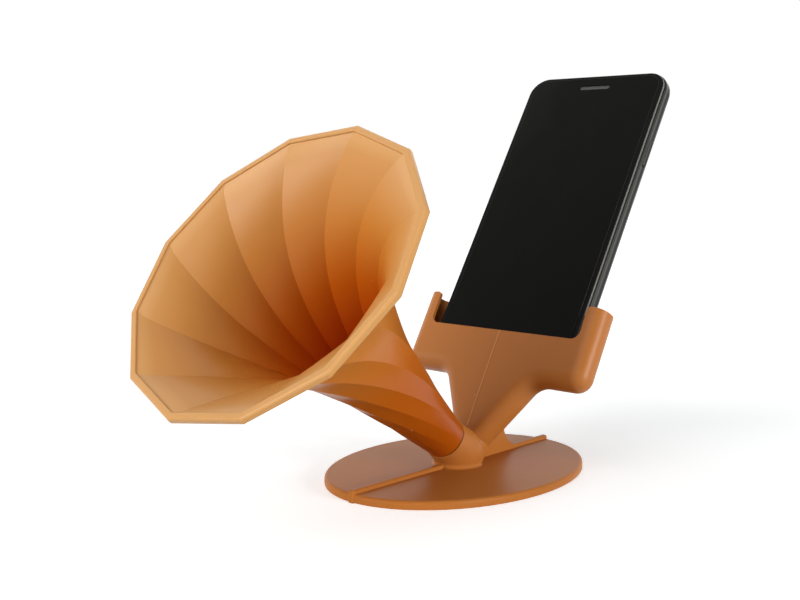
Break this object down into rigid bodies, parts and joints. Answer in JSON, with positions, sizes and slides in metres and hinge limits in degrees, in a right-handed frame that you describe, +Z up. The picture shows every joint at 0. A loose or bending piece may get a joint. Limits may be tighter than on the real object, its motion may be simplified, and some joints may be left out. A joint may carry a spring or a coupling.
{
  "type": "horn loudspeaker",
  "caption": "Passive horn loudspeaker: a leaning phone cradle feeds a hollow funnel, an elbow and a twisted faceted horn on an oval base.",
  "frame": {"origin": "centre of the oval base plate's underside, on the table", "axes": "X across, the horn's mouth towards -Y, the phone towards +Y, +Z up"},
  "size_m": [0.1174, 0.2449, 0.1669],
  "materials": {
    "horn_plastic": "satin",
    "stand_plastic": "satin",
    "seal_rubber": "matt",
    "dark_metal": "satin",
    "black_glass": "gloss",
    "guard_glass": "gloss",
    "panel_black": "satin",
    "mesh_grey": "matt",
    "part_plastic": "matt",
    "battery_wrap": "satin",
    "circuit_board": "satin",
    "bright_steel": "satin",
    "back_glass": "gloss",
    "lens_glass": "gloss",
    "flash_lens": "gloss",
    "card_plastic": "matt"
  },
  "bodies": {
    "stand": {"stand_left_half": "stand_plastic", "stand_right_half": "stand_plastic"},
    "horn_seal": {"seal_ring": "seal_rubber"},
    "horn": {"horn": "horn_plastic"},
    "phone": {"phone_frame": "dark_metal", "phone_front_glass": "black_glass", "phone_screen_guard": "guard_glass", "phone_display_panel": "panel_black", "phone_earpiece_mesh": "mesh_grey", "phone_earpiece": "part_plastic", "phone_front_camera": "part_plastic", "phone_battery": "battery_wrap", "phone_logic_board": "circuit_board", "phone_bottom_speaker": "part_plastic", "phone_vibration_motor": "bright_steel", "phone_charge_port": "bright_steel", "phone_back_cover": "back_glass", "phone_rear_camera": "part_plastic", "phone_camera_ring": "dark_metal", "phone_camera_glass": "lens_glass", "phone_flash": "flash_lens", "phone_screw_left": "bright_steel", "phone_screw_right": "bright_steel"},
    "power_button": {"phone_power_button": "dark_metal"},
    "volume_up_button": {"phone_volume_up": "dark_metal"},
    "volume_down_button": {"phone_volume_down": "dark_metal"},
    "mute_switch": {"phone_mute_switch": "dark_metal"},
    "sim_tray": {"phone_sim_tray": "dark_metal", "phone_sim_card": "card_plastic"}
  },
  "joints": [
    {"name": "horn_pull", "type": "slide", "parent": "stand", "child": "horn_seal", "axis": [0, -0.7944, 0.6074], "range_m": [0, 0.008]},
    {"name": "horn_turn", "type": "hinge", "parent": "horn_seal", "child": "horn", "pos_m": [0, -0.00947, 0.01501], "axis": [0, -0.7944, 0.6074], "continuous": true},
    {"name": "phone_lift", "type": "slide", "parent": "stand", "child": "phone", "axis": [0, 0.5218, 0.8531], "range_m": [0, 0.045]},
    {"name": "power_press", "type": "slide", "parent": "phone", "child": "power_button", "axis": [-1, 0, 0], "range_m": [0, 0.00035], "stiffness_N_per_m": 3000, "springref_m": -0.0001},
    {"name": "volume_up_press", "type": "slide", "parent": "phone", "child": "volume_up_button", "axis": [1, 0, 0], "range_m": [0, 0.00035], "stiffness_N_per_m": 3000, "springref_m": -0.0001},
    {"name": "volume_down_press", "type": "slide", "parent": "phone", "child": "volume_down_button", "axis": [1, 0, 0], "range_m": [0, 0.00035], "stiffness_N_per_m": 3000, "springref_m": -0.0001},
    {"name": "mute_slide", "type": "slide", "parent": "phone", "child": "mute_switch", "axis": [0, 0.8531, -0.5218], "range_m": [0, 0.0012]},
    {"name": "sim_tray_pull", "type": "slide", "parent": "phone", "child": "sim_tray", "axis": [-1, 0, 0], "range_m": [0, 0.0215]}
  ]
}
